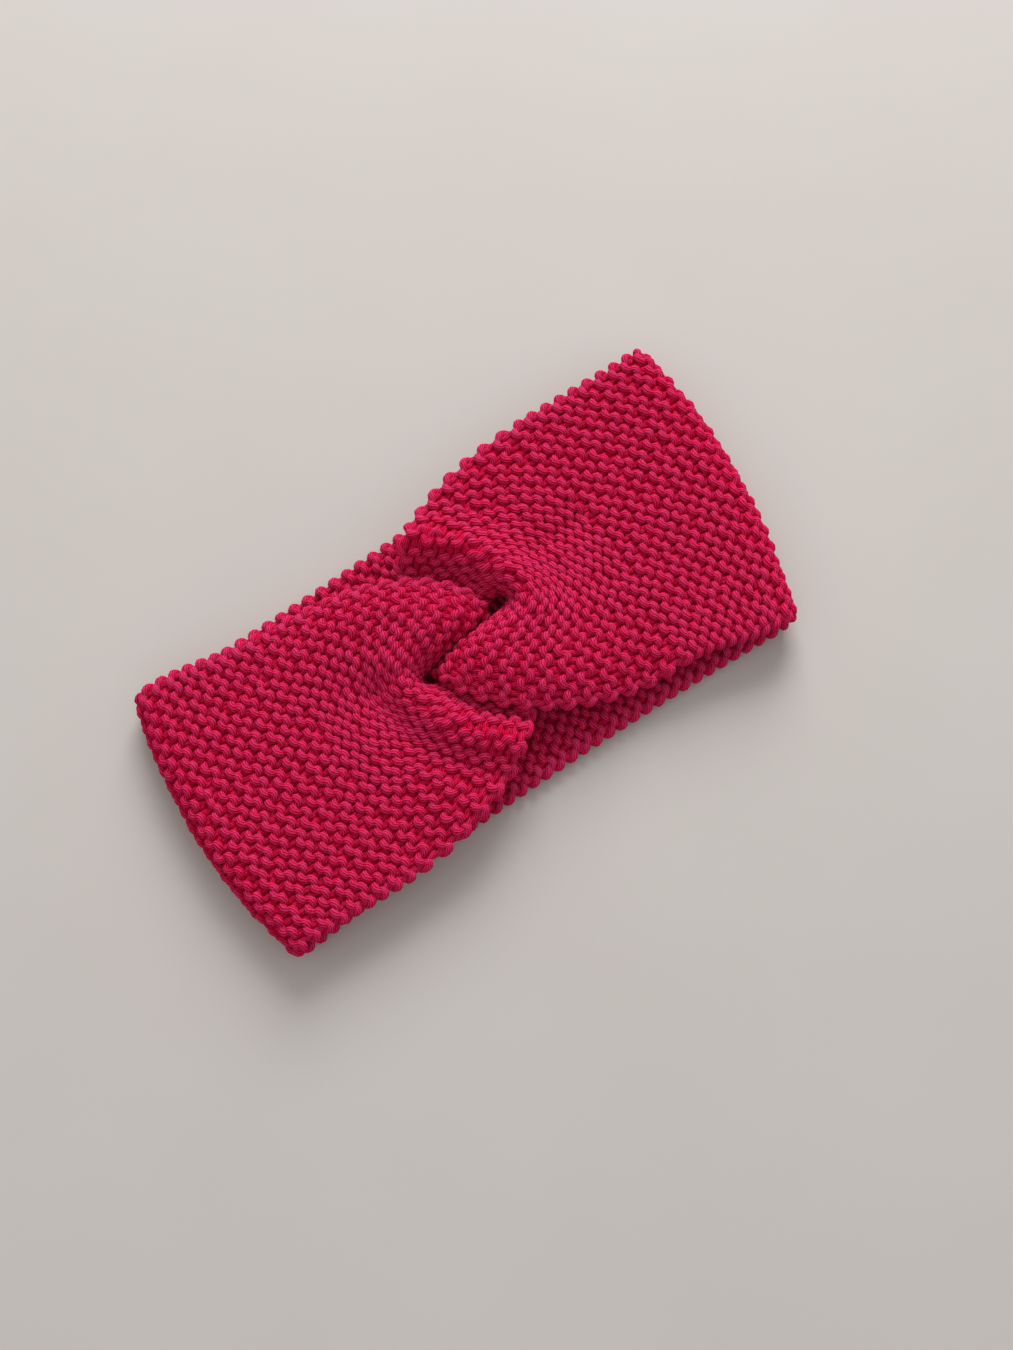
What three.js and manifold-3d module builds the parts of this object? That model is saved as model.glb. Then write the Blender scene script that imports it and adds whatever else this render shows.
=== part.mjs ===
// Knitted headband with a twist, lying flat. Millimetres, +Z up.
// X runs along the band, Y across it, and the band rests on z = 0 with the twist on top.
//
// One knitted strip goes round the band. Each end of the strip is folded in half lengthwise, the two folds
// hook through each other, and the four layers meet in one short seam that hangs inside, under the twist.
// At the seam the layers stand side by side: left end, right end, left end, right end.

import * as THREE from 'three';
import * as BufferGeometryUtils from 'three/addons/utils/BufferGeometryUtils.js';
import Module from 'manifold-3d';

const wasm = await Module();
wasm.setup();

// Driving sizes of the strip and the band.
const bandWidth = 110;
const cornerLength = 222;
const fabricThickness = 4.4;
const layerGap = 0.7;
const innerRoom = 6.6;

// Driving sizes of the twist.
const twistReach = 62;
const seamLength = 39;
const twistRise = 9.5;
const armBendRadius = 3.5;

// How far the seam is turned from the length of the band, counter-clockwise from above.
const seamTurn = 6 * Math.PI / 180;

// Driving sizes of the sewn seam.
const seamWall = 1.5;
const seamDepth = 2.9;
const seamGap = 0.3;

// How the two ends differ. Edges, corners, reach, bow, slant, tip and the dip's place and width are shares of
// the half width, and roll, open, climb and dip are shares of the layer pitch. The tongue is the half that lies
// on top, and the arm is the half that goes under the other tongue.
const ends = {
  left: { tongueEdge: 0.8, armEdge: 1.1, tongueCorner: 0.91, armCorner: 1.065, reach: 0.022, bow: 0.13,
    slant: -0.026, tip: 0.12, roll: 0.75, open: 0.8, climb: 2.6, dip: 1, dipPlace: 0.36, dipWidth: 0.17 },
  right: { tongueEdge: 0.96, armEdge: 1.04, tongueCorner: 1.11, armCorner: 1.01, reach: 0.048, bow: 0.14,
    slant: -0.15, tip: 0.06, roll: 0.75, open: 1.6, climb: 1.8, dip: 0.35, dipPlace: 0.5, dipWidth: 0.2 },
};

// How far the back panel narrows at its waist and how far the top falls towards its edges, as shares of the
// half width and of the rise.
const waist = 0.065;
const edgeFall = 0.3;

// The valley along the free edge of a tongue, where both layers sink: its depth and half width in layer pitches.
const valleyDepth = 0.8;
const valleyWidth = 1.6;

// How full the curves of the free edges are, where a quarter ellipse is 0.5523 and more is squarer, and how fast
// the one changes to the other beside the fold.
const tongueRound = 0.5523;
const armRound = 0.62;
const roundChange = 7;

// How widely the stitches next to the fold of each end fan out, as a share of the half width, how fast that fades,
// and how wide a stretch beside the fold is rounded, as a share of the half width.
const foldSpread = 0.255;
const foldFade = 11;
const foldSoft = 0.08;

// Where the roll beside a tongue starts to fall, in layer pitches from the tongue's edge, over how many pitches it
// falls, and how soon it fades above the fold and towards the flat panel, as a share of the half width and reach.
const rollCrest = 2.1;
const rollFall = 3.2;
const rollFade = 0.3;

// The free edges of the strip are rounded: how thick they stay and how far they stand out, in thicknesses.
const edgeThickness = 0.55;
const edgeStand = 0.2;

// The seam's slab covers the two hairpins, which lie side by side and are three pitches wide in all.
const seamLayers = 3;

// Mesh fineness: rows of points along each stretch of the strip, and points across it.
const twistRows = 40;
const panelRows = 6;
const foldRows = 8;
const backRows = 18;
const acrossCount = 14;
const samplesPerRow = 12;
const cornerSegments = 8;

// A number too small to matter, which keeps a division from failing.
const tiny = 1e-6;

// Worked out from the driving sizes.
const half = bandWidth / 2;
const pitch = fabricThickness + layerGap;
const seamHalf = seamLength / 2;
const backHeight = fabricThickness / 2;
const frontHeight = backHeight + fabricThickness + innerRoom;
const foldRadius = (frontHeight - backHeight) / 2;
const seamFloor = fabricThickness + seamGap;
const layerEnd = seamFloor + seamWall + seamGap;
const hairpinArc = Math.PI * pitch / 2;
const hairpinShare = hairpinArc / (hairpinArc + seamLength);

// Smooth step from 0 to 1.
function ease(value) {
  const t = Math.min(1, Math.max(0, value));
  return t * t * (3 - 2 * t);
}

// Size of a value with its sign dropped, where the turn at 0 is rounded over a width.
function softSize(value, width) {
  return Math.hypot(value, width) - width;
}

// Height of the upper layer of the twist over a point, before rolls and dips.
function twistTop(x, y) {
  const along = 0.5 * (1 + Math.cos(Math.PI * Math.min(1, Math.abs(x) / twistReach)));
  const across = 1 - edgeFall * (y / half) ** 2;
  return frontHeight + twistRise * along * across;
}

// Where the end row of one folded end lies in plan: along one side, round the other end's edge, and back.
// share is -1 at the lower free edge, 0 at the fold and 1 at the upper free edge, for the left end. Returns the
// point and the way that the wales come from.
function hairpin(share, end) {
  const centre = new THREE.Vector2(0, 0);
  const along = Math.abs(share);
  const way = new THREE.Vector2(0, share < 0 ? -1 : 1);
  let x = -seamHalf;
  if (along > hairpinShare) {
    x += (seamLength - half * end.tip) * (along - hairpinShare) / (1 - hairpinShare);
  } else {
    const angle = Math.PI - (Math.PI / 2) * (share / hairpinShare);
    way.set(Math.cos(angle), Math.sin(angle));
  }
  const point = new THREE.Vector2(x, -pitch / 2).addScaledVector(way, pitch);
  return { point: point.rotateAround(centre, seamTurn), way: way.rotateAround(centre, seamTurn) };
}

// Centre and half width across the front panel of one end, where it leaves the flat for the twist.
function frontSpread(end) {
  return { middle: half * (end.tongueEdge - end.armEdge) / 2, spread: half * (end.tongueEdge + end.armEdge) / 2 };
}

// How far a point of the left end lies outside the free edge of the other end's tongue.
function outsideTongue(x, y, other) {
  const a = twistReach + seamHalf - half * other.tip;
  const b = half * other.tongueEdge;
  const q = Math.hypot((twistReach - x) / a, y / b);
  const slope = Math.hypot((twistReach - x) / (a * a), y / (b * b)) / Math.max(q, tiny);
  return (q - 1) / slope;
}

// Depth of the valley along the free edge of a tongue, which lies on one side of the seam. side is how far over
// on that side a point is.
function valley(outside, side) {
  const fromEdge = outside / (valleyWidth * pitch);
  return valleyDepth * pitch * Math.exp(-fromEdge * fromEdge) * ease(0.5 + side / (rollFade * half));
}

// Height of the left end over a point of its plan: it bulges beside the other tongue and dips under it.
function endHeight(x, y, share, end, other) {
  const outside = outsideTongue(x, y, other);
  const roll = end.roll * pitch;
  const climb = ease((outside + fabricThickness / 2 - end.open * pitch) / (end.climb * pitch));
  const bulge = 1 - ease((outside - rollCrest * pitch) / (rollFall * pitch));
  const fromDip = (outside / half - end.dipPlace) / end.dipWidth;
  const dip = Math.exp(-fromDip * fromDip);
  const away = ease((twistReach + x) / (rollFade * twistReach));
  const rise = roll * bulge * climb - end.dip * pitch * dip * climb * away;
  const under = -pitch * (1 - climb);
  const fade = share > 0 ? 1 - ease(y / (rollFade * half)) : 1;
  const sink = share > 0 ? 1 - ease(share / hairpinShare) : 1;
  const sunk = valley(outside, -y) + valley(outsideTongue(-x, -y, end), y);
  return twistTop(x, y) + rise * fade + under * sink - sunk * away;
}

// One wale of the left end: from the flat panel over the twist, down into the seam.
function endWale(share, end, other) {
  const { middle, spread } = frontSpread(end);
  const { point, way } = hairpin(share, end);
  const round = THREE.MathUtils.lerp(tongueRound, armRound, ease(-share * roundChange));
  const startY = middle + share * spread;
  const fan = foldSpread * (1 - softSize(share, foldSoft)) ** foldFade;
  const reachOut = round * (softSize(startY - point.y, half * foldSoft) + half * fan);
  const plan = new THREE.CubicBezierCurve(
    new THREE.Vector2(-twistReach, startY),
    new THREE.Vector2(-twistReach + round * (point.x + twistReach), startY),
    point.clone().addScaledVector(way, reachOut),
    point,
  );
  const lower = ease((hairpinShare - share) / (2 * hairpinShare));
  const radius = armBendRadius + pitch * (1 - lower);
  const points = [];
  const steps = twistRows * samplesPerRow;
  for (let i = 0; i <= steps; i += 1) {
    const t = Math.sin((Math.PI / 2) * (i / steps));
    const at = plan.getPoint(t);
    const left = Math.max(0, at.clone().sub(point).dot(way));
    const bend = Math.max(0, radius - left);
    const drop = radius - Math.sqrt(Math.max(0, radius * radius - bend * bend));
    points.push(new THREE.Vector3(at.x, at.y, endHeight(at.x, at.y, share, end, other) - drop));
  }
  const last = points[points.length - 1];
  for (let i = 1; i <= samplesPerRow; i += 1) {
    points.push(new THREE.Vector3(last.x, last.y, THREE.MathUtils.lerp(last.z, layerEnd, i / samplesPerRow)));
  }
  return points;
}

// Turns a point of the left end half round, to make the right end.
function halfTurn(point) {
  return new THREE.Vector3(-point.x, -point.y, point.z);
}

// How far out the fold at one end of the band reaches, for a share across the strip.
function endReach(share, end) {
  return cornerLength / 2 + half * (end.reach + end.bow * (1 - share * share) + end.slant * share);
}

// Place across the strip at the fold of one end.
function cornerAcross(share, end) {
  return half * (end.tongueCorner - end.armCorner + share * (end.tongueCorner + end.armCorner)) / 2;
}

// Place across the strip on the back panel, which narrows to a waist under the twist.
// run goes from 0 at the left fold to 1 at the right one.
function backAcross(run, share) {
  const corner = THREE.MathUtils.lerp(cornerAcross(share, ends.left), -cornerAcross(-share, ends.right), run);
  return corner - share * half * waist * 4 * run * (1 - run);
}

// Front panel and end fold on the left, from the twist down to the back panel.
function sideWale(share, end) {
  const outer = endReach(share, end) - fabricThickness / 2;
  const centre = outer - foldRadius;
  const { middle, spread } = frontSpread(end);
  const front = [];
  const fold = [];
  for (let i = 0; i <= panelRows * samplesPerRow; i += 1) {
    const x = -THREE.MathUtils.lerp(twistReach, centre, i / (panelRows * samplesPerRow));
    const out = ease((-x - twistReach) / (centre - twistReach));
    front.push(new THREE.Vector3(x, THREE.MathUtils.lerp(middle + share * spread, cornerAcross(share, end), out),
      frontHeight));
  }
  for (let i = 0; i <= foldRows * samplesPerRow; i += 1) {
    const angle = Math.PI * i / (foldRows * samplesPerRow);
    const x = -centre - foldRadius * Math.sin(angle);
    const y = cornerAcross(share, end);
    fold.push(new THREE.Vector3(x, y, backHeight + foldRadius * (1 + Math.cos(angle))));
  }
  return { front, fold, centre };
}

// Takes a number of points along a path at even steps of its length, without the last one.
function evenly(points, count, keepLast) {
  const lengths = [0];
  for (let i = 1; i < points.length; i += 1) {
    lengths.push(lengths[i - 1] + points[i].distanceTo(points[i - 1]));
  }
  const total = lengths[lengths.length - 1];
  const picked = [];
  let at = 1;
  for (let i = 0; i < count + (keepLast ? 1 : 0); i += 1) {
    const wanted = total * i / count;
    while (at < lengths.length - 1 && lengths[at] < wanted) {
      at += 1;
    }
    const part = (wanted - lengths[at - 1]) / Math.max(tiny, lengths[at] - lengths[at - 1]);
    picked.push(points[at - 1].clone().lerp(points[at], part));
  }
  return picked;
}

// The whole length of one wale, from the seam round the band and back to the seam.
function wholeWale(share) {
  const leftEnd = endWale(share, ends.left, ends.right).reverse();
  const left = sideWale(share, ends.left);
  const rightShare = -share;
  const rightEnd = endWale(rightShare, ends.right, ends.left).map(halfTurn);
  const right = sideWale(rightShare, ends.right);
  const rightFold = right.fold.map(halfTurn).reverse();
  const rightFront = right.front.map(halfTurn).reverse();
  const back = [];
  for (let i = 0; i <= backRows * samplesPerRow; i += 1) {
    const run = i / (backRows * samplesPerRow);
    const x = THREE.MathUtils.lerp(-left.centre, right.centre, run);
    back.push(new THREE.Vector3(x, backAcross(run, share), backHeight));
  }
  return [
    ...evenly(leftEnd, twistRows, false),
    ...evenly(left.front, panelRows, false),
    ...evenly(left.fold, foldRows, false),
    ...evenly(back, backRows, false),
    ...evenly(rightFold, foldRows, false),
    ...evenly(rightFront, panelRows, false),
    ...evenly(rightEnd, twistRows, true),
  ];
}

// Normal of the sheet at one point of its grid, pointing out of the loop.
function gridNormal(grid, row, column) {
  const rows = grid.length - 1;
  const columns = grid[0].length - 1;
  const along = grid[Math.min(rows, row + 1)][column].clone().sub(grid[Math.max(0, row - 1)][column]);
  const across = grid[row][Math.min(columns, column + 1)].clone().sub(grid[row][Math.max(0, column - 1)]);
  return across.cross(along).normalize();
}

// Knitted strip: rings of points round the section of the strip, one ring for each row, closed at both ends.
function makeStrip() {
  const wales = [];
  for (let j = 0; j <= acrossCount; j += 1) {
    wales.push(wholeWale(-1 + 2 * j / acrossCount));
  }
  const grid = wales[0].map((_, row) => wales.map((wale) => wale[row]));
  const rings = grid.map((line, row) => {
    const top = [];
    const bottom = [];
    line.forEach((point, column) => {
      const inset = column === 0 || column === acrossCount ? edgeThickness : 1;
      const normal = gridNormal(grid, row, column).multiplyScalar(inset * fabricThickness / 2);
      top.push(point.clone().add(normal));
      bottom.push(point.clone().sub(normal));
    });
    const lastOut = line[acrossCount].clone().sub(line[acrossCount - 1]).setLength(edgeStand * fabricThickness);
    const firstOut = line[0].clone().sub(line[1]).setLength(edgeStand * fabricThickness);
    return [...top, line[acrossCount].clone().add(lastOut), ...bottom.reverse(), line[0].clone().add(firstOut)];
  });
  const count = rings[0].length;
  const positions = rings.flat().flatMap((p) => [p.x, p.y, p.z]);
  const index = [];
  for (let row = 0; row < rings.length - 1; row += 1) {
    for (let k = 0; k < count; k += 1) {
      const a = row * count + k;
      const b = row * count + (k + 1) % count;
      index.push(a, b, b + count, a, b + count, a + count);
    }
  }
  const addCap = (row, flip) => {
    const ring = (k) => row * count + (k + count) % count;
    for (let j = 0; j < acrossCount; j += 1) {
      const quad = [ring(j), ring(j + 1), ring(2 * acrossCount + 1 - j), ring(2 * acrossCount + 2 - j)];
      const [a, b, c, d] = flip ? [quad[3], quad[2], quad[1], quad[0]] : quad;
      index.push(a, b, c, a, c, d);
    }
    const tips = [[ring(acrossCount), ring(acrossCount + 1), ring(acrossCount + 2)],
      [ring(-2), ring(-1), ring(0)]];
    for (const tip of tips) {
      const [a, b, c] = flip ? [tip[2], tip[1], tip[0]] : tip;
      index.push(a, b, c);
    }
  };
  addCap(0, true);
  addCap(rings.length - 1, false);
  const geometry = new THREE.BufferGeometry();
  geometry.setAttribute('position', new THREE.Float32BufferAttribute(positions, 3));
  geometry.setIndex(index);
  return geometry;
}

// Turns a closed mesh into a solid for cutting.
function toSolid(geometry) {
  const plain = geometry.clone();
  plain.deleteAttribute('normal');
  plain.deleteAttribute('uv');
  const merged = BufferGeometryUtils.mergeVertices(plain, 1e-4);
  return new wasm.Manifold(new wasm.Mesh({
    numProp: 3,
    vertProperties: new Float32Array(merged.attributes.position.array),
    triVerts: new Uint32Array(merged.index.array),
  }));
}

// Turns a cut solid back into a mesh.
function toGeometry(solid) {
  const mesh = solid.getMesh();
  const geometry = new THREE.BufferGeometry();
  geometry.setAttribute('position', new THREE.Float32BufferAttribute(mesh.vertProperties, 3));
  geometry.setIndex(Array.from(mesh.triVerts));
  return geometry;
}

// Slab with round corners, centred on the seam.
function roundedSlab(halfX, halfY, radius, height, base) {
  const shape = new THREE.Shape();
  shape.moveTo(-halfX + radius, -halfY);
  shape.lineTo(halfX - radius, -halfY);
  shape.absarc(halfX - radius, -halfY + radius, radius, -Math.PI / 2, 0, false);
  shape.absarc(halfX - radius, halfY - radius, radius, 0, Math.PI / 2, false);
  shape.absarc(-halfX + radius, halfY - radius, radius, Math.PI / 2, Math.PI, false);
  shape.absarc(-halfX + radius, -halfY + radius, radius, Math.PI, 1.5 * Math.PI, false);
  const slab = new THREE.ExtrudeGeometry(shape, { depth: height, bevelEnabled: false, curveSegments: cornerSegments });
  slab.translate(0, 0, base);
  return slab;
}

// Joining seam: the sewing stitches that wrap the ends of the four layers, as one shallow trough.
function makeSeam() {
  const innerX = seamHalf + pitch + fabricThickness / 2 + seamGap;
  const innerY = (seamLayers * pitch + fabricThickness) / 2 + seamGap;
  const height = seamWall + seamDepth;
  const outer = toSolid(roundedSlab(innerX + seamWall, innerY + seamWall, pitch + seamWall, height, seamFloor));
  const inner = toSolid(roundedSlab(innerX, innerY, pitch, height, seamFloor + seamWall));
  return toGeometry(outer.subtract(inner)).rotateZ(seamTurn);
}

const yarn = new THREE.MeshStandardMaterial({ color: 0xc0184f, roughness: 0.92, metalness: 0 });
const sewingYarn = new THREE.MeshStandardMaterial({ color: 0xa81345, roughness: 0.92, metalness: 0 });

const strip = new THREE.Mesh(makeStrip(), yarn);
strip.name = 'knitted_strip';

const seam = new THREE.Mesh(makeSeam(), sewingYarn);
seam.name = 'joining_seam';

const headband = new THREE.Group();
headband.add(strip, seam);

// The origin is on the surface that the band rests on, under the middle of its outline.
const box = new THREE.Box3().setFromObject(strip);
headband.position.set(-(box.min.x + box.max.x) / 2, -(box.min.y + box.max.y) / 2, -box.min.z);

export default headband;
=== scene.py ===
"""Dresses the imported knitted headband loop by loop: a twisted strip of garter stitch on a pale floor.

Everything is in metres. X runs along the band, Y across it, and the band rests on z = 0.
"""

import logging
import math
from dataclasses import dataclass, field
from enum import Enum
from typing import Sequence

import bmesh
import bpy
import numpy as np
from mathutils import Matrix, Vector


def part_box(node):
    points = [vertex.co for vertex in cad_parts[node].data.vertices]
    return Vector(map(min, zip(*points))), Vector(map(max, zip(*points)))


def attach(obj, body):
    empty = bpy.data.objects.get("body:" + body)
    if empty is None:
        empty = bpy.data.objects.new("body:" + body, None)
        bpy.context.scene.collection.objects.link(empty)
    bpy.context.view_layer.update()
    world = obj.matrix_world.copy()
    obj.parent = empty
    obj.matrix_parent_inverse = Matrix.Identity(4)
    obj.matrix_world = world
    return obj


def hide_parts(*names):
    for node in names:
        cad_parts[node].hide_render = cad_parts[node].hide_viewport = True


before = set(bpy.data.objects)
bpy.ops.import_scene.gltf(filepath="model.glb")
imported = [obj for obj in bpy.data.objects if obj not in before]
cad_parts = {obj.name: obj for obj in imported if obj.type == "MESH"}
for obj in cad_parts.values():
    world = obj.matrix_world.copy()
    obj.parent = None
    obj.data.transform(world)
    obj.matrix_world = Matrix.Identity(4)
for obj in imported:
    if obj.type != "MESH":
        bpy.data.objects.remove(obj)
log = logging.getLogger("headband")

STRIP = "knitted_strip"
SEAM = "joining_seam"
BODY = "root"
YARN_MAP = "UVMap"
CREST = "crest"
NEARLY_ZERO = 1e-6

Colour = tuple[float, float, float]


class Slot(Enum):
    """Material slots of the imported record."""

    YARN = "yarn"
    SEWING_YARN = "sewing_yarn"


def show(name: str, data: bpy.types.ID) -> bpy.types.Object:
    """Puts a mesh, a curve, a light or a camera into the scene.

    Args:
        name: The object's name.
        data: What the object shows.

    Returns:
        The object.
    """
    made = bpy.data.objects.new(name, data)
    bpy.context.scene.collection.objects.link(made)
    return made


def ease(value: np.ndarray) -> np.ndarray:
    """Smooth step from 0 to 1."""
    t = np.clip(value, 0.0, 1.0)
    return t * t * (3.0 - 2.0 * t)


def soft_size(value: np.ndarray, width: float) -> np.ndarray:
    """Size of values with their signs dropped, where the turn at 0 is rounded over a width."""
    return np.hypot(value, width) - width


def spaced(path: np.ndarray, steps: int) -> np.ndarray:
    """Takes points along a path at even steps of its length.

    Args:
        path: The points of the path, one row each.
        steps: How many steps to take.

    Returns:
        steps + 1 points, both ends among them.
    """
    lengths = np.concatenate(([0.0], np.cumsum(np.linalg.norm(np.diff(path, axis=0), axis=1))))
    wanted = np.linspace(0.0, lengths[-1], steps + 1)
    return np.stack([np.interp(wanted, lengths, path[:, axis]) for axis in range(3)], axis=1)


def rounded(points: np.ndarray, steps: int) -> np.ndarray:
    """Draws a smooth path through points, with Catmull-Rom pieces.

    Args:
        points: The points to pass through, one row each.
        steps: How many steps each piece gets.

    Returns:
        The points of the path, without the last given point.
    """
    before = np.concatenate((points[:1], points[:-1]))[:-1]
    after = np.concatenate((points[2:], points[-1:]))
    start = points[:-1]
    end = points[1:]
    t = np.linspace(0.0, 1.0, steps, endpoint=False)[None, :, None]
    line = (
        2.0 * start[:, None]
        + (end - before)[:, None] * t
        + (2.0 * before - 5.0 * start + 4.0 * end - after)[:, None] * t**2
        + (3.0 * start - before - 3.0 * end + after)[:, None] * t**3
    )
    return 0.5 * line.reshape(-1, points.shape[1])


@dataclass(frozen=True)
class EndShape:
    """How one folded end of the strip lies, in shares.

    roll, open, climb and dip are shares of the layer pitch, and the rest are shares of the half width. The
    tongue is the half that lies on top, and the arm is the half that goes under the other tongue.
    """

    tongue_edge: float
    arm_edge: float
    tongue_corner: float
    arm_corner: float
    reach: float
    bow: float
    slant: float
    tip: float
    roll: float
    open: float
    climb: float
    dip: float
    dip_place: float
    dip_width: float


@dataclass
class StripForm:
    """The middle surface of the strip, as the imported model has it.

    It runs from the seam round the band and back to the seam.
    """

    width: float = 0.110
    corner_length: float = 0.222
    thickness: float = 0.0044
    layer_gap: float = 0.0007
    inner_room: float = 0.0066
    twist_reach: float = 0.062
    seam_length: float = 0.039
    twist_rise: float = 0.0095
    arm_bend: float = 0.0035
    seam_turn: float = math.radians(6.0)
    layer_end: float = 0.0065
    waist: float = 0.065
    edge_fall: float = 0.3
    tongue_round: float = 0.5523
    arm_round: float = 0.62
    round_change: float = 7.0
    fold_spread: float = 0.255
    fold_fade: float = 11.0
    fold_soft: float = 0.08
    valley: float = 0.8
    valley_width: float = 1.6
    roll_crest: float = 2.1
    roll_fall: float = 3.2
    roll_fade: float = 0.3
    row_spacing: float = 0.00297
    rest_lift: float = 0.0013
    ease_width: int = 5
    ease_cut: int = 3
    ease_start: float = 0.032
    ease_room: float = 0.02
    share_steps: int = 120
    row_steps: int = 4
    path_steps: int = 160
    back_steps: int = 320
    twist_steps: int = 480
    drop_steps: int = 20
    least_rows: int = 2
    left: EndShape = EndShape(
        tongue_edge=0.80,
        arm_edge=1.10,
        tongue_corner=0.91,
        arm_corner=1.065,
        reach=0.022,
        bow=0.13,
        slant=-0.026,
        tip=0.12,
        roll=0.75,
        open=0.8,
        climb=2.6,
        dip=1.0,
        dip_place=0.36,
        dip_width=0.17,
    )
    right: EndShape = EndShape(
        tongue_edge=0.96,
        arm_edge=1.04,
        tongue_corner=1.11,
        arm_corner=1.01,
        reach=0.048,
        bow=0.14,
        slant=-0.15,
        tip=0.06,
        roll=0.75,
        open=1.6,
        climb=1.8,
        dip=0.35,
        dip_place=0.5,
        dip_width=0.2,
    )
    half: float = field(init=False)
    pitch: float = field(init=False)
    seam_half: float = field(init=False)
    back_height: float = field(init=False)
    front_height: float = field(init=False)
    fold_radius: float = field(init=False)
    hairpin_share: float = field(init=False)
    points: np.ndarray = field(init=False)
    normals: np.ndarray = field(init=False)
    shift: np.ndarray = field(init=False)
    section_rows: list[int] = field(init=False)

    def __post_init__(self) -> None:
        """Works out the grid of points and normals once."""
        self.half = self.width / 2
        self.pitch = self.thickness + self.layer_gap
        self.seam_half = self.seam_length / 2
        self.back_height = self.thickness / 2
        self.front_height = self.back_height + self.thickness + self.inner_room
        self.fold_radius = (self.front_height - self.back_height) / 2
        arc = math.pi * self.pitch / 2
        self.hairpin_share = arc / (arc + self.seam_length)
        self._lay_grid()

    def _twist_top(self, x: np.ndarray, y: np.ndarray) -> np.ndarray:
        """Height of the upper layer of the twist over points."""
        along = 0.5 * (1 + np.cos(np.pi * np.minimum(1.0, np.abs(x) / self.twist_reach)))
        return self.front_height + self.twist_rise * along * (1 - self.edge_fall * (y / self.half) ** 2)

    def _end_row(self, share: np.ndarray, end: EndShape) -> tuple[np.ndarray, np.ndarray]:
        """Where the last row of the left end lies in plan, and which way its wales arrive.

        Args:
            share: Places across the strip, from -1 to 1.
            end: The shape of this end.

        Returns:
            The points and the directions, one row each.
        """
        side = np.where(share < 0, -1.0, 1.0)
        run = (np.abs(share) - self.hairpin_share) / (1 - self.hairpin_share)
        straight = run > 0
        angle = np.pi - (np.pi / 2) * (share / self.hairpin_share)
        way_x = np.where(straight, 0.0, np.cos(angle))
        way_y = np.where(straight, side, np.sin(angle))
        stretch = self.seam_length - self.half * end.tip
        x = np.where(straight, -self.seam_half + stretch * run, -self.seam_half + self.pitch * way_x)
        y = -self.pitch / 2 + self.pitch * way_y
        cos, sin = math.cos(self.seam_turn), math.sin(self.seam_turn)
        turn = np.array(((cos, sin), (-sin, cos)))
        return np.stack((x, y), axis=1) @ turn, np.stack((way_x, way_y), axis=1) @ turn

    def _outside_tongue(self, x: np.ndarray, y: np.ndarray, other: EndShape) -> np.ndarray:
        """How far points of the left end lie outside the free edge of the other end's tongue.

        Args:
            x: Places of the points along the band.
            y: Places of the points across it.
            other: The shape of the other end.

        Returns:
            The distances, below 0 where the tongue covers a point.
        """
        long_half = self.twist_reach + self.seam_half - self.half * other.tip
        wide_half = self.half * other.tongue_edge
        along = self.twist_reach - x
        ring = np.hypot(along / long_half, y / wide_half)
        slope = np.hypot(along / long_half**2, y / wide_half**2) / np.maximum(ring, NEARLY_ZERO)
        return (ring - 1) / slope

    def _end_height(
        self,
        x: np.ndarray,
        y: np.ndarray,
        share: np.ndarray,
        end: EndShape,
        other: EndShape,
    ) -> np.ndarray:
        """Height of the left end over its plan: it bulges beside the other tongue and dips under it.

        Args:
            x: Places of the points along the band.
            y: Places of the points across it.
            share: Places of their wales across the strip, from -1 to 1.
            end: The shape of this end.
            other: The shape of the end that it hooks through.

        Returns:
            The heights of the points.
        """
        outside = self._outside_tongue(x, y, other)
        climb = ease((outside + self.thickness / 2 - end.open * self.pitch) / (end.climb * self.pitch))
        bulge = 1 - ease((outside - self.roll_crest * self.pitch) / (self.roll_fall * self.pitch))
        dip = np.exp(-(((outside / self.half - end.dip_place) / end.dip_width) ** 2))
        away = ease((self.twist_reach + x) / (self.roll_fade * self.twist_reach))
        rise = end.roll * self.pitch * bulge * climb - end.dip * self.pitch * dip * climb * away
        under = -self.pitch * (1 - climb)
        fade = np.where(share > 0, 1 - ease(y / (self.roll_fade * self.half)), 1.0)
        sink = np.where(share > 0, 1 - ease(share / self.hairpin_share), 1.0)
        valley = self._valley(outside, -y) + self._valley(self._outside_tongue(-x, -y, end), y)
        return self._twist_top(x, y) + rise * fade + under * sink - valley * away

    def _valley(self, outside: np.ndarray, side: np.ndarray) -> np.ndarray:
        """Depth of the valley along the free edge of a tongue, which lies on one side of the seam."""
        fall = np.exp(-((outside / (self.valley_width * self.pitch)) ** 2))
        return self.valley * self.pitch * fall * ease(0.5 + side / (self.roll_fade * self.half))

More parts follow.
